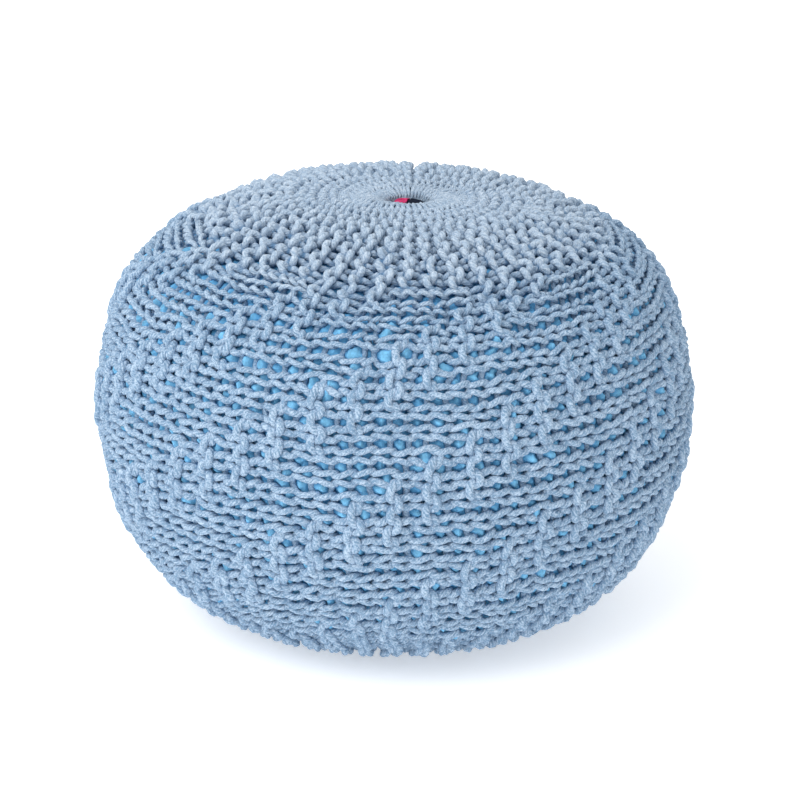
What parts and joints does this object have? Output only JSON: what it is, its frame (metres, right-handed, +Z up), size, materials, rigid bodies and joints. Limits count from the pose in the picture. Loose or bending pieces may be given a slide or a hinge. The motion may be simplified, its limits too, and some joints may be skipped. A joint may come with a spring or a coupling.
{
  "type": "knitted pouf",
  "caption": "Low round pouf in thick knitted cotton cord over a filled cushion, with broken ridges, a flat base and a drawn-in opening on top.",
  "frame": {"origin": "middle of the base, on the floor that the pouf stands on", "axes": "+Z up from the base to the crown; -Y is the side seen from the front; the opening on the crown lies about 10 mm towards +X"},
  "size_m": [0.4996, 0.5, 0.3555],
  "materials": {
    "cord": "matt knitted cotton cord",
    "cushion_cloth": "matt woven cloth",
    "pink_cloth": "matt woven cloth",
    "dark_cloth": "matt woven cloth"
  },
  "bodies": {
    "root": {"knitted_cover": "cord", "inner_cushion": "cushion_cloth", "opening_fold_pink": "pink_cloth", "opening_fold_dark": "dark_cloth"}
  },
  "joints": []
}
